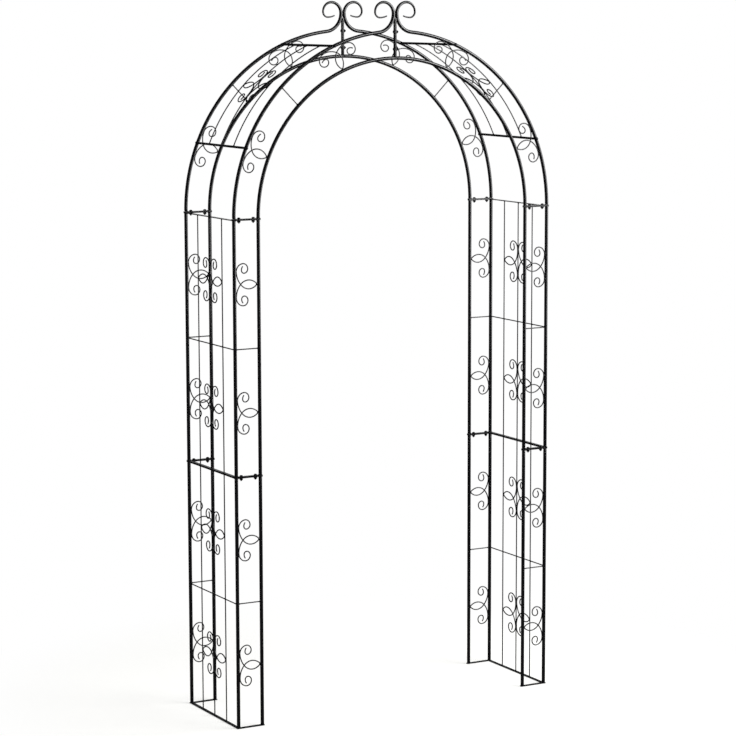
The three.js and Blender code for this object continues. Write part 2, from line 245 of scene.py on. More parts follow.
flat = {
    "width": 12.0,
    "overhang": 1.0,  # past a post's side
    "edge": 0.45,  # radius of the rolled edges
    "edgeRings": 4,
    "corner": 1.6,  # radius of the corners where it is cut to length
    "cornerPoints": 6,
    "holeRadius": 3.3,
    "holeEdge": 0.3,
    "holeSides": 32,
    "boltInset": 12.0,  # from a post's side
}
boltInset = arch["postRadius"] + flat["boltInset"]
flatLength = arch["bay"] + 2 * arch["postRadius"] + 2 * flat["overhang"]
splicePlace = arch["bay"] / 2 - boltInset
spliceHoles = (-splicePlace, splicePlace)


# A flat's outline at one height: a rectangle with round corners, drawn in by inset, and with a
# point on both long sides next to each hole.
def flatOutline(length, holes, inset, level):
    corner, halfWidth = flat["corner"], flat["width"] / 2
    bend = np.linspace(0, math.pi / 2, flat["cornerPoints"])
    arcs = []
    for sideX, sideY, start in ((1, -1, -90), (1, 1, 0), (-1, 1, 90), (-1, -1, 180)):
        x = sideX * (length / 2 - corner) + (corner - inset) * np.cos(math.radians(start) + bend)
        y = sideY * (halfWidth - corner) + (corner - inset) * np.sin(math.radians(start) + bend)
        arcs.append(np.column_stack([x, y]))
    low = np.column_stack([holes, np.full(len(holes), inset - halfWidth)])
    high = np.column_stack([holes[::-1], np.full(len(holes), halfWidth - inset)])
    outline = np.concatenate([low, arcs[0], arcs[1], high, arcs[2], arcs[3]])
    return np.column_stack([outline, np.full(len(outline), level)])


# A flat bar along X with its underside at z = 0. Its outline is drawn in by edge x (1 - sine) while
# it rises by edge x (1 - cosine), and the same way at the top. A hole is rings of a circle. The
# faces above and below are cut apart at the holes' middles.
def flatBar(length, holes=()):
    thickness, edge, holeEdge = arch["flatThickness"], flat["edge"], flat["holeEdge"]
    holes = np.array(sorted(holes), dtype=float)
    count, steps = len(holes), flat["holeSides"]
    rise = np.linspace(0, math.pi / 2, flat["edgeRings"])
    insets = edge * (1 - np.sin(rise))
    heights = edge * (1 - np.cos(rise))
    levels = np.concatenate([heights, thickness - heights[::-1]])
    insets = np.concatenate([insets, insets[::-1]])
    rings = [flatOutline(length, holes, inset, level) for inset, level in zip(insets, levels)]
    shells = [gridShell(np.stack(rings), smooth=False, caps=False)]
    turns = np.linspace(0, 2 * math.pi, steps, endpoint=False)
    radii = flat["holeRadius"] + np.array([[holeEdge], [0], [0], [holeEdge]])
    depths = np.array([[0], [holeEdge], [thickness - holeEdge], [thickness]])
    for place in holes:
        wall = ringsRound(turns, radii, depths, place)
        shells.append(gridShell(wall, flip=True, caps=False))
    whole = mergedShells(shells)
    ends = 2 * flat["cornerPoints"]
    around = 2 * (count + ends)
    firstHole = around * len(levels)

    # The face inside one outline, from its left end over the halves of the holes to its right end.
    def faceRegions(outer, row):
        rim = outer + np.arange(around)
        halfway = np.arange(steps // 2 + 1)
        left, regions = rim[2 * count + ends :], []
        for number in range(count):
            hole = firstHole + (number * len(radii) + row) * steps
            lowCut, highCut = rim[[number]], rim[[2 * count + ends - 1 - number]]
            leftHalf = hole + (3 * steps // 4 - halfway) % steps
            rightHalf = hole + (steps // 4 - halfway) % steps
            regions.append(np.concatenate([left, lowCut, leftHalf, highCut]))
            left = np.concatenate([highCut, rightHalf, lowCut])
        return [*regions, np.concatenate([left, rim[count : count + ends]])]

    above = faceRegions(around * (len(levels) - 1), len(radii) - 1)
    below = faceRegions(0, 0)
    whole["polygons"] = [face.tolist() for face in above] + [face[::-1].tolist() for face in below]
    return whole


# Scrolls

scroll = {
    "frameLength": 138.0,
    "trellisLength": 144.0,
    "crossingGap": 0.3,
    "sides": 14,
    "endRound": 0.35,
    "stepTurn": 5.0,  # degrees
    # radius share and turn in degrees: the loop's tip, its side, from the crossing to the post,
    # three bends in, the eye and its end
    "arcs": [
        (0.04, 45), (0.53, 90), (0.82, 45), (0.335, 90),
        (0.227, 90), (0.179, 90), (0.128, 90), (0.25, 42),
    ],
    "seatArcs": 3,  # the wire lies along its post after these
}


# A scroll's stations: place along it, across it from its post to the loop's tip, and lift out of
# its plane. Half of it is a chain of arcs scaled to the length and the width. The lift is half a
# sine wave of the share of the way to the post, which takes one side of the loop over the other.
# Also gives the place along where it lies on its post, and the place across where it crosses itself.
def scrollStations(length, width):
    step = scroll["stepTurn"]
    arcs = [(share, math.radians(turn), math.ceil(turn / step)) for share, turn in scroll["arcs"]]
    half = arcChain((0.0, 0.0), math.pi / 2, arcs)
    seat = sum(steps for _, _, steps in arcs[: scroll["seatArcs"]])
    widest, longest = half[:, 0].min(), half[:, 1].min()
    lengths = lengthsAlong(half)
    share = np.minimum(lengths / lengths[seat], 1.0)
    lift = (arch["wireRadius"] + scroll["crossingGap"]) * np.sin(math.pi * share)
    along = half[:, 1] / longest * length / 2
    stations = np.column_stack([along, width * (1 - half[:, 0] / widest), lift])
    mirrored = stations[:0:-1] * np.array([-1.0, 1.0, -1.0])
    beyond = half[:, 1] > 0
    crossing = 1 + np.argmax(beyond[1:] != beyond[:-1])
    return np.concatenate([mirrored, stations]), stations[seat, 0], stations[crossing, 1]


def scrollWire(points, facing):
    radius, sides = arch["wireRadius"], scroll["sides"]
    return roundBar(points, facing, radius, sides, endRound=scroll["endRound"])


# A scroll's welds: two at its sides, one at its loop's tip and one where it crosses itself. toPoint
# turns along, across and lift into a place, and direction gives the way that along runs there.
def scrollBeads(toPoint, direction, width, seatAlong, crossingAcross):
    facing, drop = weld["facing"], weldOffset["scroll"]
    return [
        bead("post", toPoint(seatAlong, -drop, 0), direction(seatAlong), facing),
        bead("post", toPoint(-seatAlong, -drop, 0), direction(-seatAlong), facing),
        bead("tip", toPoint(0, width + drop, 0), direction(0), facing),
        bead("crossing", toPoint(0, crossingAcross, 0), direction(0), facing),
    ]


# Materials


# A hex colour in linear light, by the sRGB curve: a straight line for the darkest values and a
# power for the rest.
def linearColour(hexText):
    values = np.array([int(hexText[place : place + 2], 16) for place in (1, 3, 5)]) / 255
    linear = np.where(values <= 0.04045, values / 12.92, ((values + 0.055) / 1.055) ** 2.4)
    return (*linear.tolist(), 1.0)


# Adds a node with its settings. An input is a value or another node's output.
def addNode(tree, kind, settings=None, inputs=None):
    made = tree.nodes.new(kind)
    for name, value in (settings or {}).items():
        setattr(made, name, value)
    for name, value in (inputs or {}).items():
        if isinstance(value, bpy.types.NodeSocket):
            tree.links.new(value, made.inputs[name])
        else:
            made.inputs[name].default_value = value
    return made


# A new material and its empty node tree.
def newTree(name):
    material = bpy.data.materials.new(name)
    material.use_nodes = True
    material.node_tree.nodes.clear()
    return material, material.node_tree


noiseRange = (0.3, 0.7)  # where nearly all values of a noise texture lie
# A Mix node's sockets for colours and for values go by number, because their names repeat.
mixColour = {"first": 6, "second": 7, "result": 2}
mixValue = {"first": 2, "second": 3, "result": 0}

powderCoat = {
    "deep": "#08080a",
    "light": "#0f0f12",
    "driftMm": 90.0,  # where the coat is thicker or thinner
    "driftDetail": 3.0,
    "peelMm": 2.0,  # waves of the orange peel
    "peelDetail": 1.0,
    "peelHeightMm": 0.016,
    "grainMm": 0.35,  # grains of the powder
    "grainDetail": 0.0,
    "grainHeightMm": 0.003,
    "roughness": (0.17, 0.25),
    "ior": 1.7,
}


# Polyester powder sprayed on and baked: a satin skin that is nearly black, with a soft highlight
# broken by orange peel and by the grains of the powder.
def powderCoatedSteel():
    material, tree = newTree("powder-coated steel, satin black")
    place = addNode(tree, "ShaderNodeTexCoord").outputs["Object"]
    drift = addNode(tree, "ShaderNodeTexNoise", inputs={
        "Vector": place,
        "Scale": perMetre / powderCoat["driftMm"],
        "Detail": powderCoat["driftDetail"],
    })
    peel = addNode(tree, "ShaderNodeTexNoise", inputs={
        "Vector": place,
        "Scale": perMetre / powderCoat["peelMm"],
        "Detail": powderCoat["peelDetail"],
    })
    grain = addNode(tree, "ShaderNodeTexNoise", inputs={
        "Vector": place,
        "Scale": perMetre / powderCoat["grainMm"],
        "Detail": powderCoat["grainDetail"],
    })
    colour = addNode(tree, "ShaderNodeMix", {"data_type": "RGBA"}, {
        "Factor": drift.outputs["Fac"],
        mixColour["first"]: linearColour(powderCoat["deep"]),
        mixColour["second"]: linearColour(powderCoat["light"]),
    })
    roughness = addNode(tree, "ShaderNodeMapRange", inputs={
        "Value": drift.outputs["Fac"],
        "From Min": noiseRange[0],
        "From Max": noiseRange[1],
        "To Min": powderCoat["roughness"][0],
        "To Max": powderCoat["roughness"][1],
    })
    peelBump = addNode(tree, "ShaderNodeBump", inputs={
        "Height": peel.outputs["Fac"],
        "Distance": powderCoat["peelHeightMm"] / perMetre,
    })
    grainBump = addNode(tree, "ShaderNodeBump", inputs={
        "Height": grain.outputs["Fac"],
        "Distance": powderCoat["grainHeightMm"] / perMetre,
        "Normal": peelBump.outputs["Normal"],
    })
    shader = addNode(tree, "ShaderNodeBsdfPrincipled", inputs={
        "Base Color": colour.outputs[mixColour["result"]],
        "Roughness": roughness.outputs["Result"],
        "IOR": powderCoat["ior"],
        "Normal": grainBump.outputs["Normal"],
    })
    addNode(tree, "ShaderNodeOutputMaterial", inputs={"Surface": shader.outputs["BSDF"]})
    return material


blackZinc = {
    "dark": "#161618",
    "light": "#232427",
    "patchMm": 5.0,  # clouds left by the bath
    "patchDetail": 4.0,
    "toolMm": 0.5,  # marks of rolling and heading
    "toolDetail": 2.0,
    "toolHeightMm": 0.006,
    "roughness": (0.3, 0.44),
    "metallic": 0.7,
}


# Steel fasteners plated with black zinc: darker than bare steel, a little lighter than the coat and
# with a wider, duller highlight.
def blackZincSteel():
    material, tree = newTree("black zinc-plated steel")
    place = addNode(tree, "ShaderNodeTexCoord").outputs["Object"]
    patch = addNode(tree, "ShaderNodeTexNoise", inputs={
        "Vector": place,
        "Scale": perMetre / blackZinc["patchMm"],
        "Detail": blackZinc["patchDetail"],
    })
    marks = addNode(tree, "ShaderNodeTexNoise", inputs={
        "Vector": place,
        "Scale": perMetre / blackZinc["toolMm"],
        "Detail": blackZinc["toolDetail"],
    })
    colour = addNode(tree, "ShaderNodeMix", {"data_type": "RGBA"}, {
        "Factor": patch.outputs["Fac"],
        mixColour["first"]: linearColour(blackZinc["dark"]),
        mixColour["second"]: linearColour(blackZinc["light"]),
    })
    roughness = addNode(tree, "ShaderNodeMapRange", inputs={
        "Value": patch.outputs["Fac"],
        "From Min": noiseRange[0],
        "From Max": noiseRange[1],
        "To Min": blackZinc["roughness"][0],
        "To Max": blackZinc["roughness"][1],
    })
    bump = addNode(tree, "ShaderNodeBump", inputs={
        "Height": marks.outputs["Fac"],
        "Distance": blackZinc["toolHeightMm"] / perMetre,
    })
    shader = addNode(tree, "ShaderNodeBsdfPrincipled", inputs={
        "Base Color": colour.outputs[mixColour["result"]],
        "Roughness": roughness.outputs["Result"],
        "Metallic": blackZinc["metallic"],
        "Normal": bump.outputs["Normal"],
    })
    addNode(tree, "ShaderNodeOutputMaterial", inputs={"Surface": shader.outputs["BSDF"]})
    return material


coat = powderCoatedSteel()
zinc = blackZincSteel()
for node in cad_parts.values():
    plated = node.name.endswith(("_bolt", "_nut"))
    node.data.materials.clear()
    node.data.materials.append(zinc if plated else coat)
print("materials:", coat.name, "/", zinc.name)


# Puts shells into one mesh, in metres and in their final place, and has it stand for CAD nodes.
def makePiece(name, shells, material, nodes=()):
    whole = mergedShells(shells)
    faces = whole["quads"].tolist() + whole["polygons"]
    mesh = bpy.data.meshes.new(name)
    mesh.from_pydata((whole["points"] / perMetre).tolist(), [], faces)
    flatFaces = np.zeros(len(whole["polygons"]), dtype=bool)
    mesh.polygons.foreach_set("use_smooth", np.concatenate([whole["smooth"], flatFaces]))
    mesh.update()
    mesh.materials.append(material)
    piece = bpy.data.objects.new(name, mesh)
    bpy.context.scene.collection.objects.link(piece)
    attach(piece, "root")
    if nodes:
        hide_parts(*nodes)
    return piece


def coatedPiece(node, shells):
    return makePiece(f"{node}_coated", shells, coat, [node])


# Leg sections


# A right leg frame, from its outer post at x = 0 inwards: two posts between end flats, a strut at
# half height and a scroll in each half, with its sides on the outer post and its loop on the inner.
def legFrameShells():
    bay, thickness, wire = arch["bay"], arch["flatThickness"], arch["wireRadius"]
    low, high = thickness / 2, sectionHeight - thickness / 2
    shells = []
    for x, inward in ((0.0, -1), (-bay, 1)):
        ends = (x, 0, low), (x, 0, high)
        shells.append(straightBar(*ends, alongY, arch["postRadius"], arch["postSides"]))
        foot = x + inward * (arch["postRadius"] + weldOffset["foot"])
        for z in (thickness, sectionHeight - thickness):
            shells.append(bead("foot", (foot, 0, z), alongY, alongZ))
    for z in (0.0, sectionHeight - thickness):
        shells.append(placed(flatBar(flatLength, spliceHoles), move=(-bay / 2, 0, z)))
    middle = sectionHeight / 2
    strutEnds = (0, 0, middle), (-bay, 0, middle)
    shells.append(straightBar(*strutEnds, alongY, wire, arch["wireSides"]))
    strutWeld = arch["postRadius"] + weldOffset["strut"]
    for x in (-strutWeld, strutWeld - bay):
        shells.append(bead("wire", (x, 0, middle), alongX, alongZ))
    width = bay - 2 * postSeat
    stations, seatAlong, crossing = scrollStations(scroll["frameLength"], width)
    along, across, lift = stations.T
    for centre in (middle / 2, middle + middle / 2):
        points = np.column_stack([-postSeat - across, lift, centre + along])
        shells.append(scrollWire(points, alongY))

        def toPoint(along, across, lift, centre=centre):
            return np.array([-postSeat - across, lift, centre + along])

        shells += scrollBeads(toPoint, lambda along: alongZ, width, seatAlong, crossing)
    return shells


# A right side trellis round x = 0: three wires between end flats, a cross wire on their outer side
# at half height, and in each half two scrolls back to back on the middle wire.
def legTrellisShells():
    thickness, wire, sides = arch["flatThickness"], arch["wireRadius"], arch["wireSides"]
    low, high = thickness / 2, sectionHeight - thickness / 2
    middle = sectionHeight / 2
    crosswise = turnAbout("Z", 90)
    flatPiece = flatBar(arch["depth"] - flat["width"] - 2 * arch["fit"])
    shells = [placed(flatPiece, crosswise, (0, 0, z)) for z in (0.0, sectionHeight - thickness)]
    for y in (-wirePitch, 0.0, wirePitch):
        shells.append(straightBar((0, y, low), (0, y, high), alongX, wire, sides))
        for z, side in ((thickness, 1), (sectionHeight - thickness, -1)):
            weldHeight = z + side * weldOffset["wire"]
            shells.append(bead("wire", (0, y, weldHeight), alongZ, alongX))
        shells.append(bead("wireCrossing", (wireSeat / 2, y, middle), alongZ, alongX))
    reach = arch["depth"] / 2 - arch["postRadius"] + arch["weldBite"]
    crossEnds = (wireSeat, -reach, middle), (wireSeat, reach, middle)
    shells.append(straightBar(*crossEnds, alongX, wire, sides))
    width = wirePitch - 2 * wireSeat
    stations, seatAlong, crossing = scrollStations(scroll["trellisLength"], width)
    along, across, lift = stations.T
    for centre in (middle / 2, middle + middle / 2):
        for side in (-1, 1):
            points = np.column_stack([lift, side * (wireSeat + across), centre + along])
            shells.append(scrollWire(points, alongX))

            def toPoint(along, across, lift, centre=centre, side=side):
                return np.array([lift, side * (wireSeat + across), centre + along])

            shells += scrollBeads(toPoint, lambda along: alongZ, width, seatAlong, crossing)
    return shells


halfTurn = turnAbout("Z", 180)


# Places shells on the right side, or turned half round on the left side.
def onSide(side, shells, x, y, z):
    place = [placed(shell, move=(x, y, z)) for shell in shells]
    return place if side == "right" else [placed(shell, halfTurn) for shell in place]


# The front of the left side is at +Y before its half turn.
def rowPlace(side, row):
    return (-1 if row == "front" else 1) * (1 if side == "right" else -1) * arch["depth"] / 2


frameShells = legFrameShells()
trellisShells = legTrellisShells()
for side in ("left", "right"):
    for level, section in enumerate(("lower", "upper")):
        foot = level * arch["sectionPitch"]
        for row in ("front", "rear"):
            shells = onSide(side, frameShells, outerRadius, rowPlace(side, row), foot)
            coatedPiece(f"{side}_{section}_{row}_frame", shells)
        shells = onSide(side, trellisShells, outerRadius, 0, foot)
        coatedPiece(f"{side}_{section}_side_trellis", shells)
print("leg sections made")


# Arch halves

bentBar = {"sides": 36, "longStep": 1.4, "curlStep": 6.0}  # steps in degrees
finial = {
    "ogeeRadius": 62.0,
    "voluteRadius": 37.5,
    "voluteShares": (1, 0.85, 0.5),  # of that radius, for each quarter turn
    "tailShare": 1.75,
    "tailTurn": 24.0,  # degrees
    "taperShares": (0.75, 0.56, 0.46, 0.37),  # of the tube's width, after each arc above the waist
    "tipRound": 1.0,  # the tip is a half ball
    "boltShares": (0.2, 0.59),  # of the way from the inner tube up to the waist
}
waist = arch["fit"] / 2 + arch["postRadius"]
ogeeTurn = math.acos((waist + finial["ogeeRadius"]) / (outerRadius + finial["ogeeRadius"]))
waistHeight = springHeight + (outerRadius + finial["ogeeRadius"]) * math.sin(ogeeTurn)


# Places on the arch from a radius, a turn up from the spring line and a depth.
def onArch(radius, turn, y):
    radius, turn, y = np.broadcast_arrays(radius, turn, y)
    return np.stack([radius * np.cos(turn), y, springHeight + radius * np.sin(turn)], axis=-1)


# The way up along the arch at a turn.
def alongArch(turn):
    return np.array([-math.sin(turn), 0, math.cos(turn)])


# A tube that starts upwards on the spring line at a radius and follows arcs in its frame's plane.
def bentTube(startRadius, arcs, shares=None, endRound=bar["endRound"]):
    chain = arcChain((startRadius, springHeight), math.pi / 2, arcs)
    points = np.column_stack([chain[:, 0], np.zeros(len(chain)), chain[:, 1]])
    return roundBar(points, alongY, arch["postRadius"], bentBar["sides"], shares, endRound)


# The outer tube's width stays whole up to the waist and then falls evenly along each arc of the
# finial.
def outerTube():
    longSteps = math.ceil(math.degrees(ogeeTurn) / bentBar["longStep"])
    ogeeSteps = math.ceil(math.degrees(ogeeTurn) / bentBar["curlStep"])
    arcs = [(outerRadius, ogeeTurn, longSteps), (finial["ogeeRadius"], -ogeeTurn, ogeeSteps)]
    shares, before = [np.ones(1 + longSteps + ogeeSteps)], 1.0
    curls = [(share * finial["voluteRadius"], 90.0) for share in finial["voluteShares"]]
    curls.append((finial["tailShare"] * finial["voluteRadius"], finial["tailTurn"]))
    for (radius, turn), after in zip(curls, finial["taperShares"]):
        steps = math.ceil(turn / bentBar["curlStep"])
        arcs.append((radius, -math.radians(turn), steps))
        shares.append(before + (after - before) * np.arange(1, steps + 1) / steps)
        before = after
    return bentTube(outerRadius, arcs, np.concatenate(shares), finial["tipRound"])


# Heights of the crown's bolts over the spring line, as shares of the way up to the waist.
def crownBoltHeights():
    innerTop = springHeight + innerRadius
    return [innerTop + share * (waistHeight - innerTop) for share in finial["boltShares"]]


# The flat on edge at the crown, from under the inner tube up to where the ogee meets it.
def crownFlat():
    thickness, ogee = arch["flatThickness"], finial["ogeeRadius"]
    bottom = springHeight + innerRadius - flat["width"] / 2
    meetingTurn = math.acos(1 - (thickness - arch["weldBite"]) / ogee)
    length = waistHeight - ogee * math.sin(meetingTurn) - bottom
    holes = [height - bottom - length / 2 for height in crownBoltHeights()]
    place = (arch["fit"] / 2 + thickness, 0, bottom + length / 2)
    return placed(flatBar(length, holes), turnAbout("Y", -90), place)


# A right arch frame, from its base flat on the spring line up to its finial.
def archFrameShells():
    bay, post, wire = arch["bay"], arch["postRadius"], arch["wireRadius"]
    innerEnd = math.acos((arch["fit"] / 2 + arch["flatThickness"] / 2) / innerRadius)
    steps = math.ceil(math.degrees(innerEnd) / bentBar["longStep"])
    base = placed(flatBar(flatLength, spliceHoles), move=(outerRadius - bay / 2, 0, 0))
    innerTube = bentTube(innerRadius, [(innerRadius, innerEnd, steps)])
    shells = [outerTube(), innerTube, base, crownFlat()]
    footWeld = post + weldOffset["foot"]
    for x in (outerRadius - footWeld, innerRadius + footWeld):
        shells.append(bead("foot", (x, 0, arch["flatThickness"]), alongY, alongZ))
    turn = math.radians(arch["strutTurn"])
    outward = np.array([math.cos(turn), 0, math.sin(turn)])
    strutEnds = onArch(np.array([innerRadius, outerRadius]), turn, 0.0)
    shells.append(straightBar(*strutEnds, alongY, wire, arch["wireSides"]))
    strutWeld = post + weldOffset["strut"]
    for radius in (innerRadius + strutWeld, outerRadius - strutWeld):
        shells.append(bead("wire", onArch(radius, turn, 0.0), outward, alongY))
    width = bay - 2 * postSeat
    middleRadius = outerRadius - bay / 2
    stations, seatAlong, crossing = scrollStations(scroll["frameLength"], width)
    along, across, lift = stations.T
    for centre in np.radians(arch["crossbarTurns"]):
        turns = centre + along / middleRadius
        points = onArch(outerRadius - postSeat - across, turns, lift)
        shells.append(scrollWire(points, alongY))

        def toPoint(along, across, lift, centre=centre):
            return onArch(outerRadius - postSeat - across, centre + along / middleRadius, lift)

        def direction(along, centre=centre):
            return alongArch(centre + along / middleRadius)

        shells += scrollBeads(toPoint, direction, width, seatAlong, crossing)
    return shells


crossbar = {
    "radius": 4.0,
    "sides": 24,
    "reach": 179.4,  # from the middle, fitted to the round tubes
    "endRound": 0.05,
    "wireRings": 48,
}


# The roof of one half: two crossbars, three bent wires between them and two scrolls back to back on
# the middle wire.
def roofTrellisShells():
    radius, wire, reach = crossbar["radius"], arch["wireRadius"], crossbar["reach"]
    first, last = np.radians(arch["crossbarTurns"])
    shells = []
    for turn in (first, last):
        ends = onArch(outerRadius, turn, np.array([-reach, reach]))
        shells.append(straightBar(*ends, alongZ, radius, crossbar["sides"], crossbar["endRound"]))
    gap = (radius - arch["weldBite"]) / outerRadius
    weldGap = (radius + weldOffset["roofWire"]) / outerRadius
    turns = np.linspace(first + gap, last - gap, crossbar["wireRings"])
    for y in (-wirePitch, 0.0, wirePitch):
        shells.append(roundBar(onArch(outerRadius, turns, y), alongY, wire, arch["wireSides"]))
        for turn in (first + weldGap, last - weldGap):
            place = onArch(outerRadius, turn, y)
            shells.append(bead("roofWire", place, alongArch(turn), alongY))
    width = wirePitch - 2 * wireSeat
    stations, seatAlong, crossing = scrollStations(scroll["trellisLength"], width)
    along, across, lift = stations.T
    middle = math.radians(arch["strutTurn"])
    turns = middle + along / outerRadius
    outward = np.stack([np.cos(turns), np.zeros(len(turns)), np.sin(turns)], axis=1)
    for side in (-1, 1):
        points = onArch(outerRadius + lift, turns, side * (wireSeat + across))
        shells.append(scrollWire(points, outward))

        def toPoint(along, across, lift, side=side):
            turn = middle + along / outerRadius
            return onArch(outerRadius + lift, turn, side * (wireSeat + across))

        def direction(along):
            return alongArch(middle + along / outerRadius)

        shells += scrollBeads(toPoint, direction, width, seatAlong, crossing)
    return shells


archShells = archFrameShells()
roofShells = roofTrellisShells()
for side in ("left", "right"):
    for row in ("front", "rear"):
        shells = onSide(side, archShells, 0, rowPlace(side, row), springLevel)
        coatedPiece(f"{side}_arch_{row}_frame", shells)
    coatedPiece(f"{side}_arch_roof_trellis", onSide(side, roofShells, 0, 0, springLevel))
print("arch halves made")


# Fasteners

fastener = {
    "boltRadius": 3.0,
    "boltSides": 24,
    "threadPitch": 1.0,
    "threadDepth": 0.55,
    "threadRings": 6,  # in each pitch
    "reach": 8.5,  # past the flats
    "tipLength": 1.0,
    "tipShare": 0.8,  # of the radius at the tip
    "headRadius": 5.5,
    "headHeight": 4.5,
    "headRim": 0.9,  # height where the dome starts
    "headEdge": 0.3,
    "headSides": 40,
    "headRings": 14,
    "headTop": 0.02,  # radians from the pole, where the dome's last ring is
    "nutAcross": 10.0,
    "nutHeight": 5.0,
    "nutSides": 48,
    "nutWasherInset": 0.25,  # of the round face inside the hexagon
    "nutChamfer": 30.0,  # degrees
    "nutClearance": 0.1,  # round the bolt
    "screwBite": 0.6,  # how far a crossbar's screw head sinks into the round tube
}
boltLength = 2 * arch["fit"] + 2 * arch["flatThickness"] + fastener["reach"]


# A domed head over z = 0: the radius is headRadius x sine and the height rim + dome x cosine of a
# turn from the top down to the rim.
def domedHead():
    radius, rim, edge = fastener["headRadius"], fastener["headRim"], fastener["headEdge"]
    turns = np.linspace(math.pi / 2, fastener["headTop"], fastener["headRings"])
    heights = rim + (fastener["headHeight"] - rim) * np.cos(turns)
    dome = np.column_stack([radius * np.sin(turns), heights])
    foot = [[0, 0], [radius - edge, 0], [radius, edge]]
    return turned(np.concatenate([foot, dome]), fastener["headSides"])


# The threaded shank under z = 0. Its radius is boltRadius minus threadDepth x the distance, in
# pitches and doubled, from the nearest crest of the helix, and it is drawn in towards the tip.
def threadedShank():
    pitch, tipShare = fastener["threadPitch"], fastener["tipShare"]
    turns = np.linspace(0, 2 * math.pi, fastener["boltSides"], endpoint=False)
    rows = int(boltLength / pitch * fastener["threadRings"])
    heights = np.linspace(-boltLength, 0, rows)[:, None]
    wave = (heights / pitch - turns / (2 * math.pi)) % 1
    radius = fastener["boltRadius"] - fastener["threadDepth"] * np.abs(2 * wave - 1)
    fromTip = np.clip((heights + boltLength) / fastener["tipLength"], 0, 1)
    return gridShell(ringsRound(turns, radius * (tipShare + (1 - tipShare) * fromTip), heights))


# A hexagon nut under z = 0. At each turn the side is at across / 2 over the cosine of the turn from
# the nearest side's middle, and the two faces fall away as a cone outside a circle.
def hexagonNut():
    count, halfAcross = fastener["nutSides"], fastener["nutAcross"] / 2
    turns = np.linspace(0, 2 * math.pi, count, endpoint=False)
    fromMiddle = (turns + math.pi / 6) % (math.pi / 3) - math.pi / 6
    side = halfAcross / np.cos(fromMiddle)
    circle = np.full(count, halfAcross - fastener["nutWasherInset"])
    bore = np.full(count, fastener["boltRadius"] + fastener["nutClearance"])
    drop = (side - circle) * math.tan(math.radians(fastener["nutChamfer"]))
    top = np.zeros(count)
    bottom = top - fastener["nutHeight"]
    radii = np.stack([bore, circle, side, side, circle, bore, bore])
    levels = np.stack([bottom, bottom, bottom + drop, -drop, top, top, bottom])
    return gridShell(ringsRound(turns, radii, levels), smooth=False, caps=False)


boltShells = [domedHead(), threadedShank()]
nutShells = [hexagonNut()]


# A bolt or nut, turned by chance round its own axis, as it is left when it is tightened. A hexagon
# looks the same again after 60 degrees.
def fastenerPiece(name, shells, tilt, place):
    spin = turnAbout("Z", chance.uniform(0, 60))
    turn = spin if tilt is None else tilt @ spin
    pieces = [placed(shell, turn, place) for shell in shells]
    return makePiece(f"{name}_plated", pieces, zinc, [name])


# At the splices the heads are on top and the nuts below.
frameRows = {"front": -arch["depth"] / 2, "rear": arch["depth"] / 2}
boltPlaces = {"outer": outerRadius - boltInset, "inner": innerRadius + boltInset}
for side, sign in (("left", -1), ("right", 1)):
    for level, joint in ((1, "mid"), (2, "top")):
        base = level * arch["sectionPitch"]
        head = base + arch["flatThickness"] + arch["fit"]
        seat = base - 2 * arch["fit"] - arch["flatThickness"]
        for row, y in frameRows.items():
            for place, x in boltPlaces.items():
                name = f"{side}_{joint}_{row}_{place}"
                fastenerPiece(f"{name}_bolt", boltShells, None, (sign * x, y, head))
                fastenerPiece(f"{name}_nut", nutShells, None, (sign * x, y, seat))

# At the crown the heads are on the left.
sideways = turnAbout("Y", -90)
crownSeat = arch["fit"] / 2 + arch["flatThickness"] + arch["fit"]
for row, y in frameRows.items():
    for place, height in zip(("lower", "upper"), crownBoltHeights()):
        z = springLevel + height
        fastenerPiece(f"crown_{row}_{place}_bolt", boltShells, sideways, (-crownSeat, y, z))
        fastenerPiece(f"crown_{row}_{place}_nut", nutShells, sideways, (crownSeat, y, z))

# The heads of the screws that hold the crossbars, on the outward sides of the tubes.
screwPlace = arch["depth"] / 2 + arch["postRadius"] - fastener["screwBite"]
for side, sign in (("left", -1), ("right", 1)):
    for row, outward in (("front", -1), ("rear", 1)):
        for place, degrees in zip(("lower", "upper"), arch["crossbarTurns"]):
            x, _, z = onArch(outerRadius, math.radians(degrees), 0.0)
            spot = (sign * x, outward * screwPlace, springLevel + z)
            head = placed(domedHead(), turnAbout("X", -90 * outward), spot)
            makePiece(f"{side}_roof_{row}_{place}_screw", [head], zinc)
print("fasteners made")


# Floor, light and camera. Lengths are in metres from here on.

studio = {
    "floor": ("#d6d6d3", "#dcdcda"),
    "floorCloud": 1.25,  # size of its lighter and darker places
    "floorCloudDetail": 2.0,
    "floorGlow": 0.34,  # added for the camera, so that the floor reads as white
    "floorRadius": 1.5,
    "floorSides": 96,
    "floorFade": (0.9, 1.5),  # where the floor goes over into the white backdrop
    "floorInGloss": 0.05,  # share of its tone that gloss sees, so that the feet stay black
    "skyDiffuse": 0.7,
    "wallDirection": (0.481, 0.876, 0.03),
    "wallFade": (0.985, 0.9975),  # cosines of the turn from that direction, from dark to white
    "darkSide": 0.02,
}
softboxes = {
    "front": {
        "place": (1.72, -2.56, 2.95), "aim": (0, -0.1, 2.1), "size": (1.6, 1.0), "power": 55.0,
    },
    "side": {
        "place": (2.65, -1.63, 2.35), "aim": (0, 0, 2.35), "size": (1.71, 2.9), "power": 85.0,
    },
}


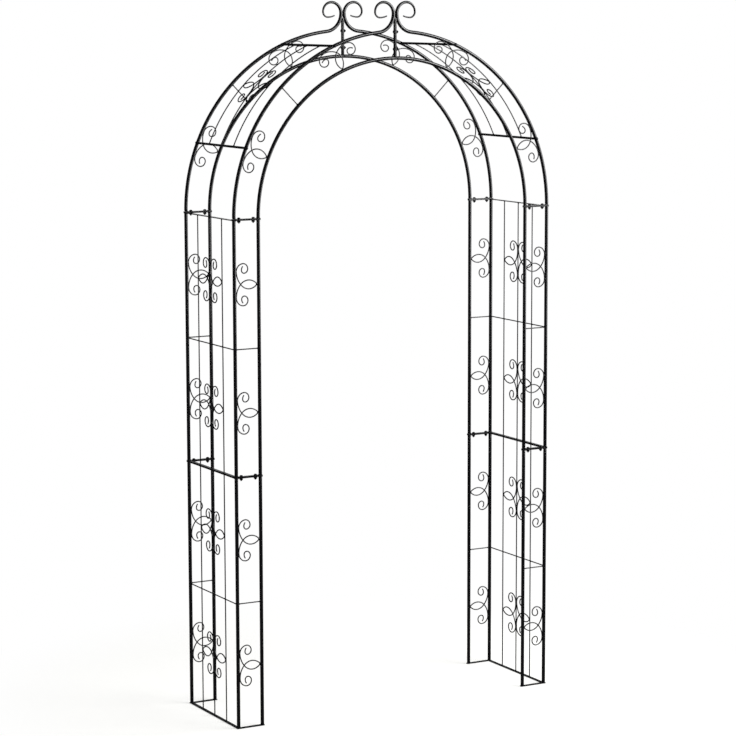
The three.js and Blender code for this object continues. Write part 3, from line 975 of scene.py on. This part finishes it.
# A matt pale floor that keeps the arch's shadow. The camera sees it brighter by the glow, and white
# at its rim, where it meets the backdrop.
def paleFloor():
    material, tree = newTree("pale studio floor")
    place = addNode(tree, "ShaderNodeTexCoord").outputs["Object"]
    rays = addNode(tree, "ShaderNodeLightPath").outputs
    cloud = addNode(tree, "ShaderNodeTexNoise", inputs={
        "Vector": place,
        "Scale": 1 / studio["floorCloud"],
        "Detail": studio["floorCloudDetail"],
    })
    tone = addNode(tree, "ShaderNodeMix", {"data_type": "RGBA"}, {
        "Factor": cloud.outputs["Fac"],
        mixColour["first"]: linearColour(studio["floor"][0]),
        mixColour["second"]: linearColour(studio["floor"][1]),
    })
    darker = addNode(tree, "ShaderNodeMapRange", inputs={
        "Value": rays["Is Glossy Ray"],
        "To Min": 1.0,
        "To Max": studio["floorInGloss"],
    })
    shade = addNode(tree, "ShaderNodeVectorMath", {"operation": "SCALE"}, {
        0: tone.outputs[mixColour["result"]],
        "Scale": darker.outputs["Result"],
    })
    diffuse = addNode(tree, "ShaderNodeBsdfDiffuse", inputs={"Color": shade.outputs["Vector"]})
    strength = addNode(tree, "ShaderNodeMath", {"operation": "MULTIPLY"}, {
        0: rays["Is Camera Ray"],
        1: studio["floorGlow"],
    })
    glow = addNode(tree, "ShaderNodeEmission", inputs={"Strength": strength.outputs[0]})
    near = addNode(tree, "ShaderNodeAddShader", inputs={0: diffuse.outputs[0], 1: glow.outputs[0]})
    distance = addNode(tree, "ShaderNodeVectorMath", {"operation": "LENGTH"}, {0: place})
    fade = addNode(tree, "ShaderNodeMapRange", {"interpolation_type": "SMOOTHSTEP"}, {
        "Value": distance.outputs["Value"],
        "From Min": studio["floorFade"][0],
        "From Max": studio["floorFade"][1],
    })
    share = addNode(tree, "ShaderNodeMath", {"operation": "MULTIPLY"}, {
        0: rays["Is Camera Ray"],
        1: fade.outputs["Result"],
    })
    far = addNode(tree, "ShaderNodeEmission")
    both = addNode(tree, "ShaderNodeMixShader", inputs={
        0: share.outputs[0],
        1: near.outputs[0],
        2: far.outputs[0],
    })
    addNode(tree, "ShaderNodeOutputMaterial", inputs={"Surface": both.outputs[0]})
    return material


# A disc, so that gloss on the camera's side shows the dark studio beyond it.
turns = np.linspace(0, 2 * math.pi, studio["floorSides"], endpoint=False)
rim = studio["floorRadius"] * np.column_stack([np.cos(turns), np.sin(turns), 0 * turns])
floorMesh = bpy.data.meshes.new("floor")
floorMesh.from_pydata(rim.tolist(), [], [list(range(len(rim)))])
floorMesh.materials.append(paleFloor())
floor = bpy.data.objects.new("floor", floorMesh)
bpy.context.scene.collection.objects.link(floor)

# White where the camera or glass sees it. Gloss sees it white only where the backdrop stands behind
# the arch and dark elsewhere, and as light on the object it is weaker.
world = bpy.data.worlds.new("studio")
bpy.context.scene.world = world
world.use_nodes = True
sky = world.node_tree
sky.nodes.clear()
rays = addNode(sky, "ShaderNodeLightPath").outputs
seen = addNode(sky, "ShaderNodeMath", {"operation": "MAXIMUM"}, {
    0: rays["Is Camera Ray"],
    1: rays["Is Transmission Ray"],
})
towardsWall = addNode(sky, "ShaderNodeVectorMath", {"operation": "DOT_PRODUCT"}, {
    0: addNode(sky, "ShaderNodeTexCoord").outputs["Generated"],
    1: studio["wallDirection"],
})
wall = addNode(sky, "ShaderNodeMapRange", {"interpolation_type": "SMOOTHSTEP"}, {
    "Value": towardsWall.outputs["Value"],
    "From Min": studio["wallFade"][0],
    "From Max": studio["wallFade"][1],
    "To Min": studio["darkSide"],
    "To Max": 1.0,
})
unseen = addNode(sky, "ShaderNodeMix", {"data_type": "FLOAT"}, {
    0: rays["Is Glossy Ray"],
    mixValue["first"]: studio["skyDiffuse"],
    mixValue["second"]: wall.outputs["Result"],
})
level = addNode(sky, "ShaderNodeMix", {"data_type": "FLOAT"}, {
    0: seen.outputs[0],
    mixValue["first"]: unseen.outputs[mixValue["result"]],
    mixValue["second"]: 1.0,
})
background = addNode(sky, "ShaderNodeBackground", inputs={
    "Color": (1.0, 1.0, 1.0, 1.0),
    "Strength": level.outputs[mixValue["result"]],
})
addNode(sky, "ShaderNodeOutputWorld", inputs={"Surface": background.outputs[0]})

for name, box in softboxes.items():
    lamp = bpy.data.lights.new(f"{name} softbox", "AREA")
    lamp.shape = "RECTANGLE"
    lamp.size, lamp.size_y = box["size"]
    lamp.energy = box["power"]
    towards = Vector(box["aim"]) - Vector(box["place"])
    stand = bpy.data.objects.new(f"{name} softbox", lamp)
    stand.location = box["place"]
    stand.rotation_euler = towards.to_track_quat("-Z", "Y").to_euler()
    stand.visible_camera = False  # it stands just inside some views
    bpy.context.scene.collection.objects.link(stand)

view = {
    "place": (-4.3041, -7.8368, 2.4026),
    "yaw": -28.75,  # degrees from +Y, positive to the left
    "pitch": 7.988,  # degrees down
    "roll": -0.15,
    "lens": 128.48,  # millimetres, as is the sensor's width
    "sensor": 36.0,
    "reach": 100.0,
}
yaw, pitch, roll = (math.radians(view[name]) for name in ("yaw", "pitch", "roll"))
levelRight = Vector((math.cos(yaw), math.sin(yaw), 0))
levelShare = math.cos(pitch)
forward = Vector((-math.sin(yaw) * levelShare, math.cos(yaw) * levelShare, -math.sin(pitch)))
levelUp = levelRight.cross(forward)
right = levelRight * math.cos(roll) + levelUp * math.sin(roll)
up = levelUp * math.cos(roll) - levelRight * math.sin(roll)
lens = bpy.data.cameras.new("camera")
lens.lens = view["lens"]
lens.sensor_width = view["sensor"]
lens.clip_end = view["reach"]
camera = bpy.data.objects.new("camera", lens)
aimed = Matrix((right, up, -forward)).transposed().to_4x4()
camera.matrix_world = Matrix.Translation(view["place"]) @ aimed
bpy.context.scene.collection.objects.link(camera)
bpy.context.scene.camera = camera
bpy.context.scene.view_settings.view_transform = "Standard"
print("stage, lights and camera set")
